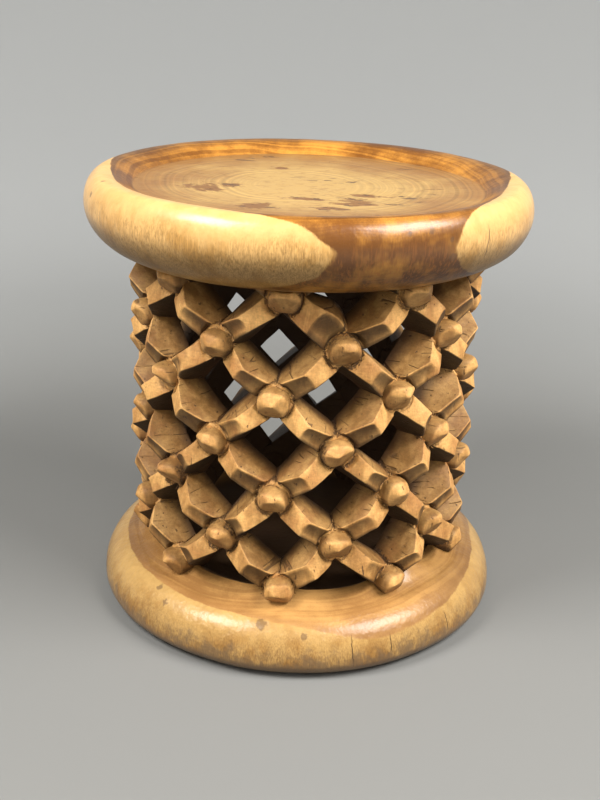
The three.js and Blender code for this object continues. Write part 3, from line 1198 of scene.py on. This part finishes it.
def lacquered(name, log, wood, dish, dimples, haze, crack_rows, spot_rows):
    """Half-gloss lacquer over the wood, uneven, with cracks and spots, darker towards the
    foot, and with painted shade inside the drum.
    """
    material, shader, principled = new_material(name)
    grain = shader.group(log)
    colour = shader.group(wood)["Color"]
    relief = shader.weighted(
        (grain["Fibres"], 0.05),
        (shader.noise((260.0, 260.0, 260.0), 1.5), dimples),
        (shader.noise((90.0, 90.0, 60.0), 1.0), 0.35),
    )
    roughness = shader.rising(grain["Clouds"], 0.16, 0.27)
    if dish:
        floor = shader.group(dish)
        colour = shader.mix(floor["Inside"], colour, floor["Color"])
        relief = shader.less(relief, shader.times(floor["Inside"], floor["Slits"], 0.5))
        roughness = shader.plus(roughness, shader.times(floor["Inside"], 0.10))
    # Painted shade inside the drum: the seat's underside and the base's floor there turn nearly black
    hollow = shader.smooth(grain["Radius"], HOLLOW_FULL, HOLLOW_DARK)
    between = shader.hump(shader.axis("Z"), 0.5 * HEIGHT / METRE, HOLLOW_HALF_HEIGHT)
    hollow_shade = shader.times(hollow, shader.math("GREATER_THAN", between, 0.0))
    colour = shader.tint(colour, TEAR_AND_SHADE_DARK, hollow_shade, 0.93)
    roughness = shader.plus(roughness, shader.times(hollow_shade, 0.5))
    crack = cracks(shader, grain["Radius"], crack_rows)
    colour = shader.tint(colour, MARK, spots(shader, spot_rows), 0.6)
    colour = shader.mix(crack, colour, CRACK)
    relief = shader.less(relief, shader.times(crack, 0.8))
    # The colour darkens towards the foot, up to a ragged edge
    ragged = shader.times(shader.noise((90.0, 90.0, 80.0), 4.0, 0.65), -0.050)
    bottom_dark = shader.smooth(shader.plus(shader.axis("Z"), ragged), 0.000, -0.014)
    colour = shader.tint(colour, BASE_BOTTOM_DARK, bottom_dark, 0.75)
    connect(shader, principled, colour, roughness, relief)
    under = shader.smooth(shader.attribute("downward"), 0.05, 0.60)
    coat = shader.less(0.34, shader.times(under, 0.26))
    coat = shader.times(shader.less(1.0, hollow_shade), coat)
    shader.tree.links.new(coat, principled.inputs["Coat Weight"])
    principled.inputs["Coat Roughness"].default_value = haze
    principled.inputs["Specular IOR Level"].default_value = 0.32
    return material


def carved(log):
    """Knife-cut heartwood without lacquer: fibrous, with painted shade in its creases, on its
    side and lower faces and inside the drum, pale edges that are partly wear and partly
    painted highlight, and a torn ring round every stud that is partly painted shade in its groove."""
    material, shader, principled = new_material("carved wood")
    grain = shader.group(log)
    inward, downward, ring, crisp, frayed = (
        shader.attribute(name) for name in ("inward", "downward", "ring", "crisp", "frayed")
    )
    patches = shader.noise((60.0, 60.0, 45.0), 3.0, 0.6)
    tone = shader.weighted((grain["Clouds"], 0.5), (grain["Streaks"], 0.45), (patches, 0.6))
    colour = shader.mix(shader.smooth(tone, 0.62, 0.90), CARVED_DARK, CARVED_LIGHT)
    ruddy = shader.patches(0.50, 0.64, (42.0, 42.0, 55.0), 2.0, 0.6)
    colour = shader.tint(colour, CARVED_RUDDY, ruddy, 0.45)
    scratched = shader.noise((260.0, 260.0, 700.0), 4.0, 0.7)
    fine = shader.weighted((grain["Fibres"], 0.6), (scratched, 0.8))
    colour = shader.shade(colour, shader.plus(fine, 0.30))

    # Painted shade on the bars' side faces, which do not face outwards
    flank = shader.smooth(inward, -0.70, -0.35)
    colour = shader.darken(colour, flank, 0.40)
    bars = shader.smooth(ring, 0.010, 0.014)
    # Painted shade on lower faces, weaker on the studs than on the bars
    below = shader.smooth(downward, 0.0, 0.36)
    colour = shader.darken(colour, below, shader.rising(bars, 0.29, 0.50))
    # More painted shade on faces turned to the ground
    underside_shade = shader.smooth(downward, 0.45, 0.70)
    colour = shader.darken(colour, shader.times(underside_shade, bars), 0.62)

    # Pale convex edges in patches: partly wear and partly painted highlight
    worn_and_lit = shader.times(shader.smooth(crisp, 0.10, 0.30), shader.smooth(grain["Clouds"], 0.38, 0.62))
    colour = shader.tint(colour, WORN_AND_LIT_EDGE, worn_and_lit, 0.5)

    # A dark ring in the knife groove round each stud, partly torn fibres and partly painted shade, and
    # a torn line where the two upper bars meet
    ragged = shader.swing((520.0, 520.0, 380.0), 3.0, 0.7)
    edge = shader.plus(ring, shader.times(ragged, frayed, 0.008))
    tear_and_groove_shade = shader.hump(edge, (GROOVE_RADIUS + 0.6) / METRE, shader.rising(frayed, 0.0011, 0.0005))
    tear_and_groove_shade = shader.times(tear_and_groove_shade, shader.rising(frayed, 0.6, 0.4))
    crotch = shader.plus(shader.attribute("crotch"), shader.times(ragged, frayed, 0.006))
    tear_and_groove_shade = shader.largest(tear_and_groove_shade, shader.smooth(crotch, 0.0013, 0.0004))
    # Painted shade in concave creases
    crease_shade = shader.smooth(crisp, -0.05, -0.30)
    checks = shader.patches(0.685, 0.72, (330.0, 330.0, 30.0), 2.0, 0.6)
    layers = shader.hump(shader.noise((11.0, 11.0, 120.0), 1.0), 0.5, 0.014)
    layers = shader.times(layers, flank, shader.smooth(patches, 0.47, 0.56), 0.85)
    # Torn fibres, cracks and painted shade in creases, all in one near-black
    dark = shader.largest(tear_and_groove_shade, crease_shade, shader.times(checks, 0.8), layers)
    colour = shader.tint(colour, TEAR_AND_SHADE_DARK, dark, 0.88)

    # Painted shade inside the drum: on faces turned to the axis and on the bars' inner parts
    rear = shader.times(shader.smooth(shader.axis("Y"), 0.02, 0.08), REAR_DEEPER)
    deep_shade = shader.smooth(shader.less(grain["Radius"], rear), DEEP_END, DEEP_START)
    inside = shader.largest(shader.smooth(inward, 0.10, 0.55), deep_shade)
    colour = shader.tint(colour, TEAR_AND_SHADE_DARK, inside, 0.93)

    relief = shader.weighted(
        (grain["Fibres"], 0.12), (scratched, 0.30),
        (shader.noise((120.0, 120.0, 120.0), 1.0), 0.55), (dark, -0.8),
    )
    connect(shader, principled, colour, shader.rising(grain["Fibres"], 0.2, 0.50), relief)
    principled.inputs["Specular IOR Level"].default_value = 0.35
    return material


def torn_fibres():
    """Dark splinters, some of them pale."""
    material, shader, principled = new_material("torn fibres")
    grain = shader.noise((600.0, 600.0, 300.0))
    colour = shader.mix(shader.attribute("pale"), SPLINTER_DARK, CARVED_LIGHT)
    connect(shader, principled, colour, shader.rising(grain, 0.3, 0.6), shader.times(grain, 0.1))
    return material


def add_piece(mesh, material, crease_angle=42.0):
    """A finished piece that stands for the stool's solid."""
    store_log(mesh)
    mesh.set_sharp_from_angle(angle=np.radians(crease_angle))
    piece = make_object(mesh)
    mesh.materials.clear()
    mesh.materials.append(material)
    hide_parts("stool")
    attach(piece, "root")
    return piece


log = log_group()
dish = dish_group(log)
seat_wood = lacquered_group("seat wood", log, SEAT_MOTTLED, *SEAT_WOOD)
base_wood = lacquered_group("base wood", log, BASE_MOTTLED, *BASE_WOOD)
add_piece(seat_mesh(), lacquered("seat", log, seat_wood, dish, 0.22, 0.20, SEAT_CRACKS, SEAT_SPOTS))
add_piece(base_mesh(), lacquered("base", log, base_wood, None, 0.55, 0.25, BASE_CRACKS, BASE_SPOTS))
add_piece(openwork_mesh(), carved(log), 21.0)
add_piece(splinters_mesh(), torn_fibres(), 180.0)


# Picture

# The camera's place in metres and its turns in radians
CAMERA_DISTANCE = 0.883
CAMERA_HEIGHT = 0.5145
CAMERA_PITCH = 0.3793
CAMERA_ROLL = 0.032
CAMERA_YAW = -0.002
CAMERA_AZIMUTH = 0.1284
FOCAL_PIXELS = 1128.66
PICTURE_HEIGHT = 800
SENSOR = 36.0


def make_camera():
    """The camera of the photograph, round the log from the front by CAMERA_AZIMUTH."""
    data = bpy.data.cameras.new("camera")
    data.sensor_fit = "VERTICAL"
    data.sensor_height = SENSOR
    data.lens = FOCAL_PIXELS / PICTURE_HEIGHT * SENSOR
    camera = bpy.data.objects.new("camera", data)
    bpy.context.collection.objects.link(camera)
    right_angle = 0.5 * np.pi
    place = Matrix.Translation((0.0, -CAMERA_DISTANCE, CAMERA_HEIGHT))
    aim = Matrix.Rotation(-CAMERA_YAW, 4, "Z") @ Matrix.Rotation(right_angle - CAMERA_PITCH, 4, "X")
    roll = Matrix.Rotation(CAMERA_ROLL, 4, "Z")
    camera.matrix_world = Matrix.Rotation(CAMERA_AZIMUTH, 4, "Z") @ place @ aim @ roll
    bpy.context.scene.camera = camera


FLOOR_RADIUS = 0.9
SWEEP_RADIUS = 1.3
WALL_HEIGHT = 3.6
STAGE_COLUMNS = 96
# The floor's grey turns to the wall's paler grey over these radii, painted light that
# brightens the backdrop away from the stool
GREY_START = 0.30
GREY_END = 1.40
FLOOR_GREY = (0.21, 0.206, 0.192, 1.0)
WALL_GREY = (0.50, 0.50, 0.485, 1.0)


def make_stage():
    """A round grey floor that sweeps up into a wall: a line, a quarter circle and a line."""
    sweep = arc((FLOOR_RADIUS, SWEEP_RADIUS), SWEEP_RADIUS, SWEEP_RADIUS, -90, 0, 24)
    profile = np.concatenate([[(0.001, 0.0)], sweep, [(FLOOR_RADIUS + SWEEP_RADIUS, WALL_HEIGHT)]])
    points = turned(profile * METRE, line(0.0, 360.0, STAGE_COLUMNS))
    grid = np.arange(len(profile) * STAGE_COLUMNS).reshape(-1, STAGE_COLUMNS)
    right = np.roll(grid, -1, axis=1)
    quads = np.stack([grid[:-1], right[:-1], right[1:], grid[1:]], axis=-1).reshape(-1, 4)
    mesh = make_mesh("stage", points.reshape(-1, 3), [quads])
    material, shader, principled = new_material("stage")
    # Painted light: the grey pales with distance from the stool
    far = shader.smooth(shader.distance(shader.axis("X"), shader.axis("Y")), GREY_START, GREY_END)
    shader.tree.links.new(shader.mix(far, FLOOR_GREY, WALL_GREY), principled.inputs["Base Color"])
    principled.inputs["Roughness"].default_value = 0.75
    mesh.materials.append(material)
    make_object(mesh)


LIGHT_AIM = Vector((0.0, 0.0, 0.2))


def make_light(name, azimuth, elevation, distance, size, power, glossy=True):
    """A soft box that faces the stool's middle."""
    data = bpy.data.lights.new(name, "AREA")
    data.shape = "RECTANGLE"
    data.size, data.size_y = size
    data.energy = power
    light = make_object(data)
    light.visible_glossy = glossy
    level = distance * np.cos(np.radians(elevation))
    rise = distance * np.sin(np.radians(elevation))
    place = Vector(outward(np.array(azimuth)) * level) + Vector((0.0, 0.0, rise))
    light.location = place + LIGHT_AIM
    light.rotation_euler = (-place).to_track_quat("-Z", "Y").to_euler()


WORLD_COLOUR = (0.8, 0.82, 0.85, 1.0)
WORLD_STRENGTH = 0.17


def make_world():
    """Faint even light from all sides."""
    world = bpy.data.worlds.new("world")
    world.use_nodes = True
    background = world.node_tree.nodes["Background"]
    background.inputs["Color"].default_value = WORLD_COLOUR
    background.inputs["Strength"].default_value = WORLD_STRENGTH
    bpy.context.scene.world = world


make_camera()
make_stage()
make_light("left box", -50.0, 47.0, 1.6, (0.62, 0.62), 27.0)
make_light("right box", 68.0, 46.0, 1.6, (1.0, 0.62), 39.0)
make_light("front fill", 6.0, 36.0, 1.5, (1.2, 0.8), 6.0, glossy=False)
make_world()
bpy.context.scene.view_settings.view_transform = "Standard"
